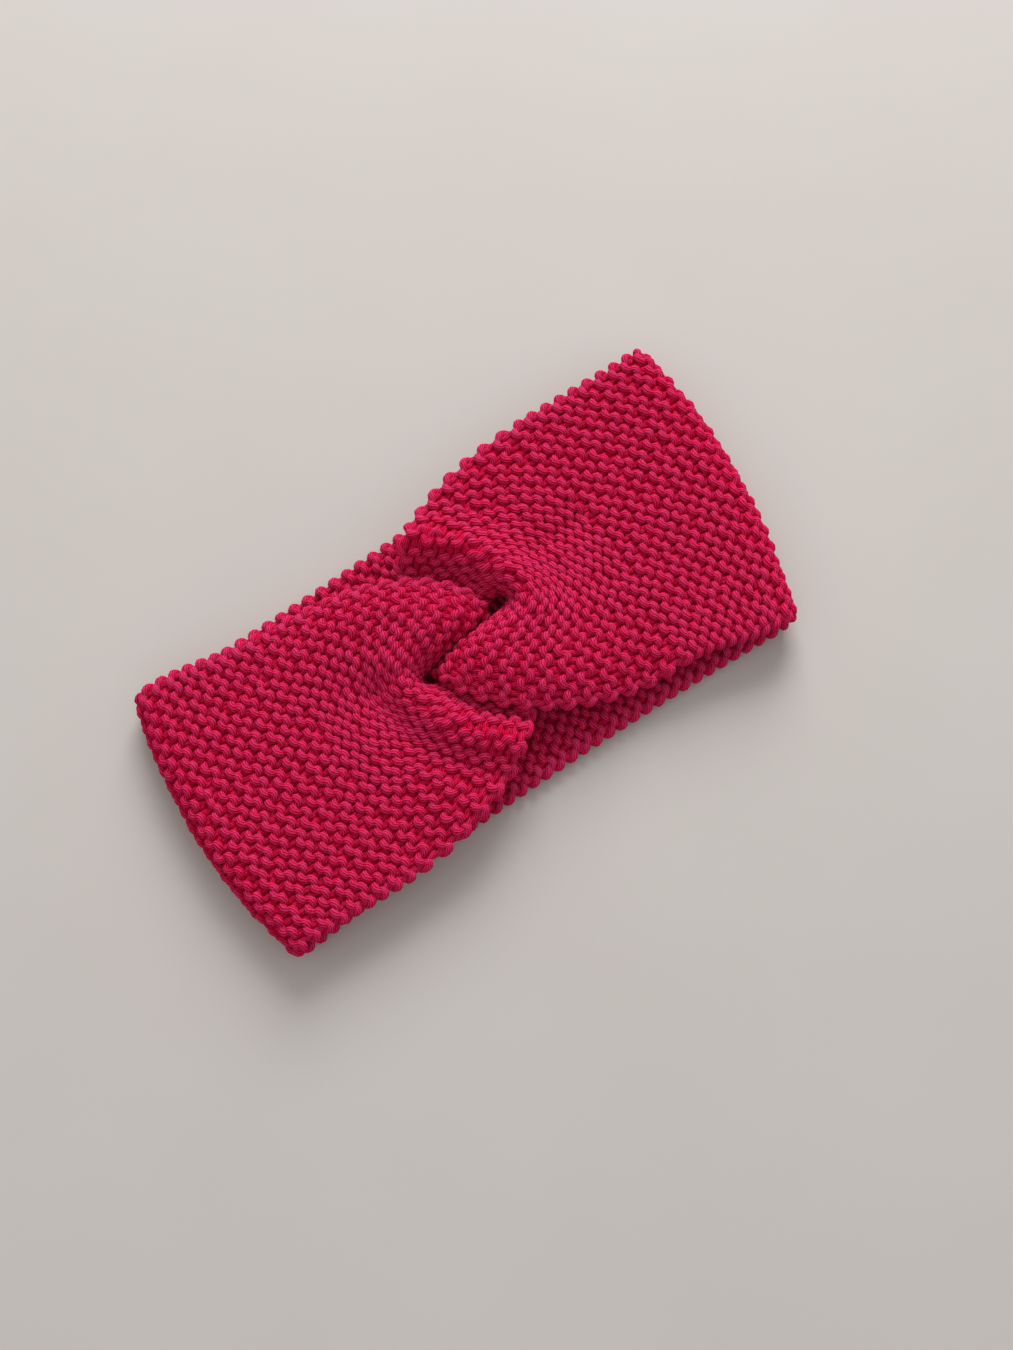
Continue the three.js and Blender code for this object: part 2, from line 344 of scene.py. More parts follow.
    def _end_wales(self, share: np.ndarray, end: EndShape, other: EndShape) -> np.ndarray:
        """The wales of the left end, from the flat panel over the twist and down into the seam.

        Args:
            share: Places across the strip, from -1 to 1.
            end: The shape of this end.
            other: The shape of the end that it hooks through.

        Returns:
            An array of wales by points by three.
        """
        pin, way = self._end_row(share, end)
        full = self.tongue_round + (self.arm_round - self.tongue_round) * ease(-share * self.round_change)
        start_y = self._start_across(share, end)
        fan = self.half * self.fold_spread * (1 - soft_size(share, self.fold_soft)) ** self.fold_fade
        out = full * (soft_size(start_y - pin[:, 1], self.half * self.fold_soft) + fan)
        start = np.stack((np.full_like(share, -self.twist_reach), start_y), axis=1)
        lead = np.stack((-self.twist_reach + full * (pin[:, 0] + self.twist_reach), start_y), axis=1)
        arrive = pin + way * out[:, None]
        t = np.sin(np.linspace(0.0, np.pi / 2, self.twist_steps))[None, :, None]
        plan = (
            start[:, None] * (1 - t) ** 3
            + 3 * lead[:, None] * t * (1 - t) ** 2
            + 3 * arrive[:, None] * t**2 * (1 - t)
            + pin[:, None] * t**3
        )
        lower = ease((self.hairpin_share - share) / (2 * self.hairpin_share))
        radius = (self.arm_bend + self.pitch * (1 - lower))[:, None]
        ahead = np.maximum(0.0, ((plan - pin[:, None]) * way[:, None]).sum(axis=2))
        bend = np.maximum(0.0, radius - ahead)
        drop = radius - np.sqrt(np.maximum(0.0, radius**2 - bend**2))
        height = self._end_height(plan[..., 0], plan[..., 1], share[:, None], end, other) - drop
        over = np.concatenate((plan, height[..., None]), axis=2)
        down = np.repeat(over[:, -1:], self.drop_steps, axis=1)
        fall = np.linspace(0.0, 1.0, self.drop_steps + 1)[1:]
        down[..., 2] += (self.layer_end - down[..., 2]) * fall
        return np.concatenate((over, down), axis=1)

    def _start_across(self, share: np.ndarray, end: EndShape) -> np.ndarray:
        """Places across the band where one front panel runs into the twist."""
        middle = self.half * (end.tongue_edge - end.arm_edge) / 2
        spread = self.half * (end.tongue_edge + end.arm_edge) / 2
        return middle + share * spread

    def _corner_across(self, share: np.ndarray, end: EndShape) -> np.ndarray:
        """Places across the band at the fold of one end of it."""
        middle = end.tongue_corner - end.arm_corner
        spread = end.tongue_corner + end.arm_corner
        return self.half * (middle + share * spread) / 2

    def _side_wales(self, share: np.ndarray, end: EndShape) -> tuple[np.ndarray, np.ndarray, np.ndarray]:
        """Front panel and end fold on the left.

        Args:
            share: Places across the strip, from -1 to 1.
            end: The shape of this end.

        Returns:
            The front wales, the fold's wales, and how far out the fold's centre lies.
        """
        bowed = self.half * (end.reach + end.bow * (1 - share**2) + end.slant * share)
        centre = self.corner_length / 2 + bowed - self.thickness / 2 - self.fold_radius
        start = self._start_across(share, end)[:, None]
        corner = self._corner_across(share, end)[:, None]
        step = np.linspace(0.0, 1.0, self.path_steps)[None, :]
        x = -(self.twist_reach + (centre[:, None] - self.twist_reach) * step)
        y = start * (1 - ease(step)) + corner * ease(step)
        front = np.stack((x, y, np.full_like(x, self.front_height)), axis=2)
        angle = np.pi * step
        fold_x = -centre[:, None] - self.fold_radius * np.sin(angle)
        fold_z = self.back_height + self.fold_radius * (1 + np.cos(angle))
        fold = np.stack(np.broadcast_arrays(fold_x, corner, fold_z), axis=2)
        return front, fold, centre

    def _lay_grid(self) -> None:
        """Joins the seven stretches of the strip into one grid, with a whole number of rows in each."""
        share = np.linspace(-1.0, 1.0, self.share_steps + 1)
        turn = np.array((-1.0, -1.0, 1.0))
        left_front, left_fold, left_centre = self._side_wales(share, self.left)
        right_front, right_fold, right_centre = self._side_wales(-share, self.right)
        run = np.linspace(0.0, 1.0, self.back_steps)[None, :]
        back_x = -left_centre[:, None] * (1 - run) + right_centre[:, None] * run
        left_y = self._corner_across(share, self.left)[:, None]
        right_y = -self._corner_across(-share, self.right)[:, None]
        narrow = share[:, None] * self.half * self.waist * 4 * run * (1 - run)
        back_y = left_y * (1 - run) + right_y * run - narrow
        back = np.stack((back_x, back_y, np.full_like(back_x, self.back_height)), axis=2)
        stretches = [
            self._end_wales(share, self.left, self.right)[:, ::-1],
            left_front,
            left_fold,
            back,
            (right_fold * turn)[:, ::-1],
            (right_front * turn)[:, ::-1],
            self._end_wales(-share, self.right, self.left) * turn,
        ]
        parts = []
        self.section_rows = []
        for stretch in stretches:
            mean = np.linalg.norm(np.diff(stretch, axis=1), axis=2).sum(axis=1).mean()
            rows = max(self.least_rows, round(mean / self.row_spacing))
            self.section_rows.append(rows)
            sampled = np.stack([spaced(wale, rows * self.row_steps) for wale in stretch])
            parts.append(sampled[:, :-1])
        parts.append(sampled[:, -1:])
        grid = self._spread_wales(np.concatenate(parts, axis=1))
        self.points = self._spread_wales(self._ease_rows(grid))
        along = np.gradient(self.points, axis=1)
        across = np.gradient(self.points, axis=0)
        normal = np.cross(across, along)
        self.normals = normal / np.linalg.norm(normal, axis=2, keepdims=True)
        self._centre_on_model()

    def _spread_wales(self, grid: np.ndarray) -> np.ndarray:
        """Slides the wales over the surface until they lie evenly across every row, as the stitches do.

        Args:
            grid: Wales by points by three.

        Returns:
            The grid on the same surface, with even steps across it.
        """
        return np.stack([spaced(grid[:, row], self.share_steps) for row in range(grid.shape[1])], axis=1)

    def _ease_rows(self, grid: np.ndarray) -> np.ndarray:
        """Rounds the point that each row makes at the strip's middle, where the panels run into the twist.

        Args:
            grid: Wales by points by three.

        Returns:
            The grid with its rows smoothed outside the twist.
        """
        reach = self.ease_cut * self.ease_width
        steps = np.arange(-reach, reach + 1)
        weights = np.exp(-0.5 * (steps / self.ease_width) ** 2)
        weights /= weights.sum()
        before = 2 * grid[:1] - grid[reach:0:-1]
        after = 2 * grid[-1:] - grid[-2 : -reach - 2 : -1]
        longer = np.concatenate((before, grid, after))
        smooth = sum(weight * longer[step : step + len(grid)] for step, weight in enumerate(weights))
        share = ease((np.abs(grid[..., :1]) - self.ease_start) / self.ease_room)
        return grid + share * (smooth - grid)

    def _centre_on_model(self) -> None:
        """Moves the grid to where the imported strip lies, lifted so that its loops rest on the floor."""
        skin = np.concatenate((
            (self.points + self.normals * self.thickness / 2).reshape(-1, 3),
            (self.points - self.normals * self.thickness / 2).reshape(-1, 3),
        ))
        low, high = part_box(STRIP)
        shift = (np.array(low) + np.array(high)) / 2 - (skin.min(axis=0) + skin.max(axis=0)) / 2
        shift[2] = low[2] - skin[:, 2].min() + self.rest_lift
        self.points += shift
        self.shift = shift

    @property
    def rows(self) -> int:
        """How many rows the whole strip has."""
        return sum(self.section_rows)

    @property
    def mean_length(self) -> float:
        """Mean length of the wales."""
        return float(np.linalg.norm(np.diff(self.points, axis=1), axis=2).sum(axis=1).mean())

    def place(self, share: np.ndarray, row: np.ndarray, out: np.ndarray) -> np.ndarray:
        """Finds points of the strip.

        Args:
            share: Places across the strip, from -1 to 1, or a little further.
            row: Places along it, counted in rows.
            out: How far out of the middle surface, on the outer side where it is positive.

        Returns:
            The points, one row each.
        """
        i = (share + 1) / 2 * self.share_steps
        j = np.clip(row * self.row_steps, 0.0, self.points.shape[1] - 1)
        i0 = np.clip(np.floor(i), 0, self.share_steps - 1).astype(int)
        j0 = np.clip(np.floor(j), 0, self.points.shape[1] - 2).astype(int)
        s = (i - i0)[:, None]
        t = (j - j0)[:, None]

        def blend(grid: np.ndarray) -> np.ndarray:
            """Reads a grid between its points.

            Args:
                grid: Wales by points by three.

            Returns:
                What the grid holds at the wanted places.
            """
            near = grid[i0, j0] * (1 - s) + grid[i0 + 1, j0] * s
            far = grid[i0, j0 + 1] * (1 - s) + grid[i0 + 1, j0 + 1] * s
            return near * (1 - t) + far * t

        return blend(self.points) + blend(self.normals) * out[:, None]


class NodeBench:
    """A short way to set up the nodes of one material."""

    def __init__(self, name: str) -> None:
        """Starts an empty material.

        Args:
            name: The material's name.
        """
        self.material = bpy.data.materials.new(name)
        self.material.use_nodes = True
        self.tree = self.material.node_tree
        self.shader = self.tree.nodes["Principled BSDF"]

    def node(
        self,
        kind: str,
        inputs: dict[str | int, object] | None = None,
        **settings: object,
    ) -> bpy.types.Node:
        """Adds a node.

        Args:
            kind: The node's Blender type.
            inputs: Values or output sockets for its inputs, by name or number.
            settings: Properties of the node itself.

        Returns:
            The node.
        """
        made = self.tree.nodes.new(kind)
        for key, value in settings.items():
            setattr(made, key, value)
        for key, value in (inputs or {}).items():
            if isinstance(value, bpy.types.NodeSocket):
                self.tree.links.new(value, made.inputs[key])
            else:
                made.inputs[key].default_value = value
        return made

    def math(self, operation: str, first: object, second: object = 0.0) -> bpy.types.NodeSocket:
        """Adds a Math node and returns its output."""
        return self.node("ShaderNodeMath", {0: first, 1: second}, operation=operation).outputs[0]

    def total(self, *terms: tuple[bpy.types.NodeSocket, float]) -> bpy.types.NodeSocket:
        """Adds up values, each times its weight.

        Args:
            terms: Pairs of a value and its weight.

        Returns:
            The sum.
        """
        added, *others = [self.math("MULTIPLY", value, weight) for value, weight in terms]
        for part in others:
            added = self.math("ADD", added, part)
        return added

    def noise(
        self,
        place: bpy.types.NodeSocket,
        scale: float,
        detail: float,
        roughness: float = 0.5,
    ) -> bpy.types.NodeSocket:
        """Adds an uneven pattern.

        Args:
            place: The coordinates to read.
            scale: How many patches there are to a metre.
            detail: How many finer patterns are laid over the first.
            roughness: How strong the finer ones are.

        Returns:
            The pattern's value, from 0 to 1.
        """
        inputs = {"Vector": place, "Scale": scale, "Detail": detail, "Roughness": roughness}
        return self.node("ShaderNodeTexNoise", inputs).outputs[0]

    def bump(self, height: bpy.types.NodeSocket, strength: float, depth: float) -> bpy.types.NodeSocket:
        """Turns a height into fine relief. The depth is that of a height of 1, in metres."""
        inputs = {"Strength": strength, "Distance": depth, "Height": height}
        return self.node("ShaderNodeBump", inputs).outputs[0]

    def ramp(
        self,
        value: bpy.types.NodeSocket,
        stops: Sequence[tuple[float, Colour]],
    ) -> bpy.types.NodeSocket:
        """Turns a value into a colour.

        Args:
            value: What to read.
            stops: Places from 0 to 1 and the colours there.

        Returns:
            The colour.
        """
        made = self.node("ShaderNodeValToRGB", {0: value})
        elements = made.color_ramp.elements
        while len(elements) < len(stops):
            elements.new(0.5)
        for element, (place, colour) in zip(elements, stops):
            element.position = place
            element.color = (*colour, 1.0)
        return made.outputs[0]

    def set(self, **values: object) -> None:
        """Sets or links inputs of the shader.

        Args:
            values: Values or output sockets, by the inputs' names with _ for a space.
        """
        for key, value in values.items():
            socket = self.shader.inputs[key.replace("_", " ")]
            if isinstance(value, bpy.types.NodeSocket):
                self.tree.links.new(value, socket)
            else:
                socket.default_value = value


@dataclass(frozen=True)
class YarnFinish:
    """Soft plied yarn whose colour holds painted light: painted shade between the plies and in the hollows
    of the fabric, and painted highlights along the plies and on its crests, over random fibre tones.

    The piece's UV map runs along the yarn in metres and once round it. Its crest attribute tells how far a
    point stands out of the fabric's middle surface, in metres, and sets how much painted highlight or
    painted shade the point's colour gets. glow is light that soaks through the fibres, and down is the fluff
    on them.
    """

    name: str
    # The first of the three tones is painted shade for the gaps and ply grooves, the last a painted
    # highlight for the crests and plies; random fibre tone runs between them too.
    shade: Colour
    body: Colour
    highlight_and_pale_fibre: Colour
    tone_places: tuple[float, float, float] = (0.42, 0.62, 0.9)
    plies: int = 9
    ply_turn: float = 0.0022
    ply_depth: float = 0.00018
    ply_wander: float = 1.1
    wander_scale: float = 900.0
    wander_roughness: float = 0.6
    ply_highlight_power: float = 2.5
    ply_highlight_share: float = 0.7
    fibre_scale: float = 2600.0
    fibre_roughness: float = 0.65
    fibre_share: float = 0.5
    fibre_height: float = 0.9
    patch_scale: float = 160.0
    patch_share: float = 0.15
    # These two set how strongly the fabric's crests get painted highlight and its hollows painted shade.
    crest_height: float = 0.0029
    crest_light_share: float = 0.3
    relief: float = 0.9
    roughness: float = 0.7
    glow: float = 0.2
    glow_reach: Colour = (1.0, 0.7, 0.8)
    glow_depth: float = 0.001
    down: float = 0.1
    down_roughness: float = 0.5
    down_tint: Colour = (1.0, 0.01, 0.3)

    def material(self) -> bpy.types.Material:
        """Makes the material.

        Returns:
            The material.
        """
        bench = NodeBench(self.name)
        uv = bench.node("ShaderNodeUVMap", uv_map=YARN_MAP)
        split = bench.node("ShaderNodeSeparateXYZ", {0: uv.outputs[0]})
        place = bench.node("ShaderNodeTexCoord").outputs["Object"]
        stray = bench.noise(place, self.wander_scale, detail=3.0, roughness=self.wander_roughness)
        fibre = bench.noise(place, self.fibre_scale, detail=3.0, roughness=self.fibre_roughness)
        patch = bench.noise(place, self.patch_scale, detail=2.0)
        crest = bench.node("ShaderNodeAttribute", attribute_name=CREST).outputs["Fac"]
        turns = bench.total(
            (split.outputs[0], 1.0 / self.ply_turn),
            (split.outputs[1], float(self.plies)),
            (stray, self.ply_wander),
        )
        ply = bench.math("ABSOLUTE", bench.math("SINE", bench.math("MULTIPLY", turns, math.pi)))
        # painted highlights along the plies and painted shade in the grooves between them, mixed with random
        # fibre and patch tone
        ply_highlight = bench.math("POWER", ply, self.ply_highlight_power)
        level = bench.total(
            (ply_highlight, self.ply_highlight_share),
            (fibre, self.fibre_share),
            (patch, self.patch_share),
        )
        # painted light from the crest attribute: paler pink where the fabric stands out, as if lit, and
        # deeper, purer red in its hollows, as if in shade
        level = bench.total((level, 1.0 - self.crest_light_share), (crest, self.crest_light_share / self.crest_height))
        # the ramp runs from painted shade through the yarn's own colour to painted highlight
        tones = (self.shade, self.body, self.highlight_and_pale_fibre)
        height = bench.math("ADD", ply, bench.math("MULTIPLY", fibre, self.fibre_height))
        bench.set(
            Base_Color=bench.ramp(level, list(zip(self.tone_places, tones))),
            Roughness=self.roughness,
            Normal=bench.bump(height, self.relief, self.ply_depth),
            Subsurface_Weight=self.glow,
            Subsurface_Radius=self.glow_reach,
            Subsurface_Scale=self.glow_depth,
            Specular_IOR_Level=0.0,
            Sheen_Weight=self.down,
            Sheen_Roughness=self.down_roughness,
            Sheen_Tint=(*self.down_tint, 1.0),
        )
        return bench.material


@dataclass(frozen=True)
class GroundFinish:
    """The deep red inside of the fabric, seen only in the gaps between loops."""

    name: str
    deep: Colour
    pale: Colour
    tone_places: tuple[float, float] = (0.3, 0.7)
    fibre_scale: float = 1500.0
    fibre_depth: float = 0.0003
    relief: float = 0.6
    roughness: float = 0.95

    def material(self) -> bpy.types.Material:
        """Makes the material.

        Returns:
            The material.
        """
        bench = NodeBench(self.name)
        place = bench.node("ShaderNodeTexCoord").outputs["Object"]
        fibre = bench.noise(place, self.fibre_scale, detail=3.0)
        bench.set(
            Base_Color=bench.ramp(fibre, list(zip(self.tone_places, (self.deep, self.pale)))),
            Roughness=self.roughness,
            Specular_IOR_Level=0.0,
            Normal=bench.bump(fibre, self.relief, self.fibre_depth),
        )
        return bench.material


@dataclass(frozen=True)
class FloorFinish:
    """Plain pale matt floor with a faint mottle."""

    name: str
    dull: Colour
    pale: Colour
    tone_places: tuple[float, float] = (0.3, 0.7)
    mottle_scale: float = 9.0
    roughness: float = 0.75
    shine: float = 0.2

    def material(self) -> bpy.types.Material:
        """Makes the material.

        Returns:
            The material.
        """
        bench = NodeBench(self.name)
        place = bench.node("ShaderNodeTexCoord").outputs["Object"]
        mottle = bench.noise(place, self.mottle_scale, detail=4.0)
        bench.set(
            Base_Color=bench.ramp(mottle, list(zip(self.tone_places, (self.dull, self.pale)))),
            Roughness=self.roughness,
            Specular_IOR_Level=self.shine,
        )
        return bench.material


# Each yarn's three tones run from painted shade through its own raspberry colour to a paler painted
# highlight.
WOOL = YarnFinish(
    "raspberry_yarn",
    shade=(0.52, 0.0, 0.021),
    body=(0.54, 0.0005, 0.045),
    highlight_and_pale_fibre=(0.58, 0.044, 0.15),
)
SEWING_WOOL = YarnFinish(
    "raspberry_sewing_yarn",
    shade=(0.22, 0.002, 0.02),
    body=(0.5, 0.008, 0.07),
    highlight_and_pale_fibre=(0.66, 0.03, 0.13),
    ply_turn=0.006,
    crest_light_share=0.0,
)
FABRIC_GROUND = GroundFinish("fabric_ground", deep=(0.52, 0.0002, 0.020), pale=(0.60, 0.0006, 0.03))
PALE_FLOOR = FloorFinish("pale_floor", dull=(0.53, 0.505, 0.486), pale=(0.547, 0.524, 0.504))


@dataclass(frozen=True)
class YarnPlace:
    """Where the points of a yarn lie in the fabric.

    middle holds the spots of its middle surface, normals the ways straight out of it there, and overhang how
    much more a point counts as standing out where it lies near or past the edge, in metres, so that the
    loops at the edge get the painted highlight of the crests too.
    """

    middle: np.ndarray
    normals: np.ndarray
    overhang: np.ndarray


@dataclass
class YarnTube:
    """A round yarn along a path, closed at both ends."""

    radius: float
    bevel_steps: int = 2
    merge_distance: float = 1e-7

    @property
    def sides(self) -> int:
        """How many points each ring of the tube has."""
        return 4 + 2 * self.bevel_steps

    def build(
        self,
        name: str,
        path: np.ndarray,
        swell: np.ndarray | None = None,
        fabric: YarnPlace | None = None,
    ) -> bpy.types.Object:
        """Makes the tube as a mesh, with a UV map in metres along it and once round it.

        Args:
            name: The piece's name.
            path: The points that the yarn follows.
            swell: How thick the yarn is at each point, as a share of its radius.
            fabric: Where each point lies in the fabric.

        Returns:
            The mesh object.
        """
        curve = bpy.data.curves.new(name, "CURVE")
        curve.dimensions = "3D"
        curve.bevel_depth = self.radius
        curve.bevel_resolution = self.bevel_steps
        curve.use_fill_caps = True
        spline = curve.splines.new("POLY")
        spline.points.add(len(path) - 1)
        flat = np.concatenate((path, np.ones((len(path), 1))), axis=1)
        spline.points.foreach_set("co", flat.astype(np.float32).ravel())
        if swell is not None:
            spline.points.foreach_set("radius", swell.astype(np.float32))
        source = show(name, curve)
        mesh = bpy.data.meshes.new_from_object(source.evaluated_get(bpy.context.evaluated_depsgraph_get()))
        bpy.data.objects.remove(source)
        bpy.data.curves.remove(curve)
        mesh.name = name
        self._lay_uv(mesh, path)
        if fabric is not None:
            self._mark_crests(mesh, fabric)
        work = bmesh.new()
        work.from_mesh(mesh)
        bmesh.ops.remove_doubles(work, verts=work.verts, dist=self.merge_distance)
        bmesh.ops.recalc_face_normals(work, faces=work.faces)
        work.to_mesh(mesh)
        work.free()
        mesh.shade_smooth()
        return show(name, mesh)

    def _lay_uv(self, mesh: bpy.types.Mesh, path: np.ndarray) -> None:
        """Writes the UV map of a tube whose points come ring by ring.

        Args:
            mesh: The tube.
            path: The points that it follows.
        """
        along = np.concatenate(([0.0], np.cumsum(np.linalg.norm(np.diff(path, axis=0), axis=1))))
        corner = np.zeros(len(mesh.loops), np.int32)
        mesh.loops.foreach_get("vertex_index", corner)
        starts = np.zeros(len(mesh.polygons), np.int32)
        totals = np.zeros(len(mesh.polygons), np.int32)
        mesh.polygons.foreach_get("loop_start", starts)
        mesh.polygons.foreach_get("loop_total", totals)
        ring = np.minimum(corner // self.sides, len(path) - 1)
        turn = (corner % self.sides) / self.sides
        # faces that close the ring run on to 1 there, not back to 0
        quads = starts[totals == 4][:, None] + np.arange(4)
        wraps = turn[quads].max(axis=1) - turn[quads].min(axis=1) > 0.5
        wrapped = quads[wraps]
        turn[wrapped] = np.where(turn[wrapped] < 0.25, 1.0, turn[wrapped])
        layer = mesh.uv_layers[0] if mesh.uv_layers else mesh.uv_layers.new(name=YARN_MAP)
        layer.name = YARN_MAP
        layer.data.foreach_set("uv", np.stack((along[ring], turn), axis=1).astype(np.float32).ravel())

    def _mark_crests(self, mesh: bpy.types.Mesh, fabric: YarnPlace) -> None:
        """Writes how far each point of a tube stands out of the fabric's middle surface, in metres.

        The yarn's colour reads it for its painted highlight on crests and painted shade in hollows.

        Args:
            mesh: The tube, whose points come ring by ring.
            fabric: Where the points that the tube follows lie in the fabric.
        """
        spots = np.zeros(len(mesh.vertices) * 3, np.float32)
        mesh.vertices.foreach_get("co", spots)
        ring = np.minimum(np.arange(len(mesh.vertices)) // self.sides, len(fabric.middle) - 1)
        out = ((spots.reshape(-1, 3) - fabric.middle[ring]) * fabric.normals[ring]).sum(axis=1)
        crest = np.abs(out) + fabric.overhang[ring]
        layer = mesh.attributes.new(CREST, "FLOAT", "POINT")
        layer.data.foreach_set("value", crest.astype(np.float32))


@dataclass
class GarterFabric:
    """The knitted strip: one yarn that goes back and forth across it, loop by loop, round a thin ground."""

    form: StripForm
    stitches: int = 19
    yarn_radius: float = 0.00144
    loop_rise: float = 0.00275
    loop_depth: float = 0.00125
    half_loop: tuple[tuple[float, float, float], ...] = (
        (0.0, -1.0, -1.2),
        (0.19, -0.88, -0.9),
        (0.31, -0.38, 0.05),
        (0.19, 0.38, -0.05),
        (0.31, 0.88, 0.9),
        (0.5, 1.0, 1.2),
    )
    loop_steps: int = 40
    loop_points: int = 16
    bend_weight: float = 2.2
    end_cut: float = 0.1
    turn_points: int = 5
    turn_foot: float = 0.82
    turn_inset: float = 0.2
    turn_reach: float = 0.3
    # The next two only lift the painted crest highlight on the loops at the strip's edges.
    edge_start: float = 0.95
    edge_crest: float = 0.0011
    unevenness: float = 0.13
    side_sway: float = 0.4
    swelling: float = 0.14
    ground_thickness: float = 0.0014
    ground_inset: float = 0.965
    ground_columns: int = 30
    seed: int = 7
    loop: np.ndarray = field(init=False)
    heads: np.ndarray = field(init=False)
    feet: np.ndarray = field(init=False)

    def __post_init__(self) -> None:
        """Works out one loop and the small unevenness of every loop."""
        self.loop = self._one_loop()
        rng = np.random.default_rng(self.seed)
        self.heads = rng.normal(0.0, self.unevenness, (self.form.rows, self.stitches, 3))
        self.feet = rng.normal(0.0, self.unevenness, (self.form.rows, self.stitches + 1, 3))

    def _one_loop(self) -> np.ndarray:
        """Samples one loop so that its bends get more points than its legs.

        Returns:
            Rows of place across in stitches, along in loop rises, out in loop depths, and share of the loop.
        """
        first = np.array(self.half_loop)
        second = first[:-1][::-1] * (-1, 1, 1) + (1, 0, 0)
        loop = np.concatenate((first, second))
        padded = np.concatenate((loop[-2:-1] - (1, 0, 0), loop, loop[1:2] + (1, 0, 0)))
        line = rounded(padded, self.loop_steps)[self.loop_steps : -self.loop_steps]
        width = self.form.width / self.stitches
        real = line * (width, self.loop_rise, self.loop_depth)
        move = np.diff(real, axis=0, append=real[:1] + (width, 0, 0))
        length = np.linalg.norm(move, axis=1)
        way = move / length[:, None]
        bend = np.arccos(np.clip((way * np.roll(way, 1, axis=0)).sum(axis=1), -1, 1))
        effort = np.cumsum(length / length.sum() + self.bend_weight * bend / bend.sum())
        picked = np.searchsorted(effort, effort[-1] * np.arange(self.loop_points) / self.loop_points)
        picked[0] = 0
        return np.concatenate((line[picked], (picked / len(line))[:, None]), axis=1)

    def row_path(self, row: int) -> np.ndarray:
        """Follows the yarn through one row and round the edge to the next.

        Args:
            row: The number of the row. Even rows run up the strip's width and odd ones down.

        Returns:
            Rows of place across in stitches, along in rows, out in metres, and thickness as a share of the
            radius.
        """
        face = 1.0 if row % 2 == 0 else -1.0
        column = np.repeat(np.arange(self.stitches), self.loop_points)
        across, along, out, share = np.tile(self.loop, (self.stitches, 1)).T
        rise = self.loop_rise / self.form.row_spacing
        head = (np.sin(np.pi * share) ** 2)[:, None] * self.heads[row][column]
        near_foot = (share < 0.5)[:, None] * self.feet[row][column]
        far_foot = (share >= 0.5)[:, None] * self.feet[row][column + 1]
        sway = head + (np.cos(np.pi * share) ** 2)[:, None] * (near_foot + far_foot)
        x = column + across + self.side_sway * sway[:, 0]
        y = row + 0.5 + along * rise + sway[:, 1]
        z = face * out * self.loop_depth + sway[:, 2] * self.loop_depth
        keep = (column > 0) | (share >= self.end_cut)
        keep &= (column < self.stitches - 1) | (share <= 1 - self.end_cut)
        swell = 1 + self.swelling * np.cos(4 * np.pi * share) * (1 + sway[:, 1])
        path = np.stack((x, y, z, swell), axis=1)[keep]
        if face < 0:
            path = path[::-1]
        edge = self.stitches if face > 0 else 0
        foot = row + 0.5 - self.turn_foot * rise
        angle = np.linspace(-np.pi / 2, np.pi / 2, self.turn_points + 2)[1:-1]
        turn_x = edge - face * self.turn_inset + face * self.turn_reach * np.cos(angle)
        turn_y = foot + 0.5 + 0.5 * np.sin(angle)
        turn_z = face * self.loop_depth * np.sin(angle)
        turn = np.stack((turn_x, turn_y, turn_z, np.ones_like(turn_x)), axis=1)
        return np.concatenate((path, turn))

    def yarn_path(self, first: int, last: int) -> tuple[np.ndarray, np.ndarray, YarnPlace]:
        """Follows the yarn from one row up to another.

        Args:
            first: The row to start with.
            last: The row to stop before. The first point of that row ends the path, if there is such a row.

        Returns:
            The points in space, how thick the yarn is at each as a share of its radius, and where each lies
            in the fabric.
        """
        knit = np.concatenate([self.row_path(row) for row in range(first, last)])
        if last < self.form.rows:
            knit = np.concatenate((knit, self.row_path(last)[:1]))
        share = 2 * knit[:, 0] / self.stitches - 1
        middle = self.form.place(share, knit[:, 1], np.zeros(len(knit)))
        normals = self.form.place(share, knit[:, 1], np.ones(len(knit))) - middle
        # loops near the edge count as standing out more, so they get the painted crest highlight
        overhang = np.clip(self.form.half * (np.abs(share) - self.edge_start), 0.0, self.edge_crest)
        return middle + normals * knit[:, 2:3], knit[:, 3], YarnPlace(middle, normals, overhang)

    def build_yarn(self) -> list[bpy.types.Object]:
        """Makes the yarn, in pieces of about the same size that follow each other.

        Returns:
            The pieces, from the left end round the back to the right end.
        """
        names = ("yarn_left_end", "yarn_left_panel", "yarn_back_panel", "yarn_right_panel", "yarn_right_end")
        marks = np.linspace(0, self.form.rows, len(names) + 1).round().astype(int)
        tube = YarnTube(self.yarn_radius)
        finish = WOOL.material()
        pieces = []
        for name, first, last in zip(names, marks[:-1], marks[1:]):
            piece = tube.build(name, *self.yarn_path(first, last))
            piece.data.materials.append(finish)
            pieces.append(piece)
        return pieces

    def build_ground(self) -> bpy.types.Object:
        """Makes the thin sheet inside the loops, which closes the gaps between them.

        Returns:
            The sheet.
        """
        mesh = bpy.data.meshes.new("knitted_ground")
        work = bmesh.new()
        bmesh.ops.create_grid(work, x_segments=self.ground_columns, y_segments=self.form.rows, size=1.0)
        work.verts.ensure_lookup_table()
        flat = np.array([vert.co for vert in work.verts])
        rows = (flat[:, 1] + 1) / 2 * self.form.rows
        spots = self.form.place(flat[:, 0] * self.ground_inset, rows, np.zeros(len(flat)))
        for vert, spot in zip(work.verts, spots):
            vert.co = spot
        bmesh.ops.solidify(work, geom=work.faces[:], thickness=self.ground_thickness)
        bmesh.ops.recalc_face_normals(work, faces=work.faces)
        work.to_mesh(mesh)
        work.free()
        mesh.shade_smooth()
        mesh.materials.append(FABRIC_GROUND.material())
        return show("knitted_ground", mesh)

    def build(self) -> list[bpy.types.Object]:
        """Returns:
            The ground and the pieces of the yarn.
        """
        ground = self.build_ground()
        yarn = self.build_yarn()
        for piece in (ground, *yarn):
            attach(piece, BODY)
        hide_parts(STRIP)
        return [ground, *yarn]


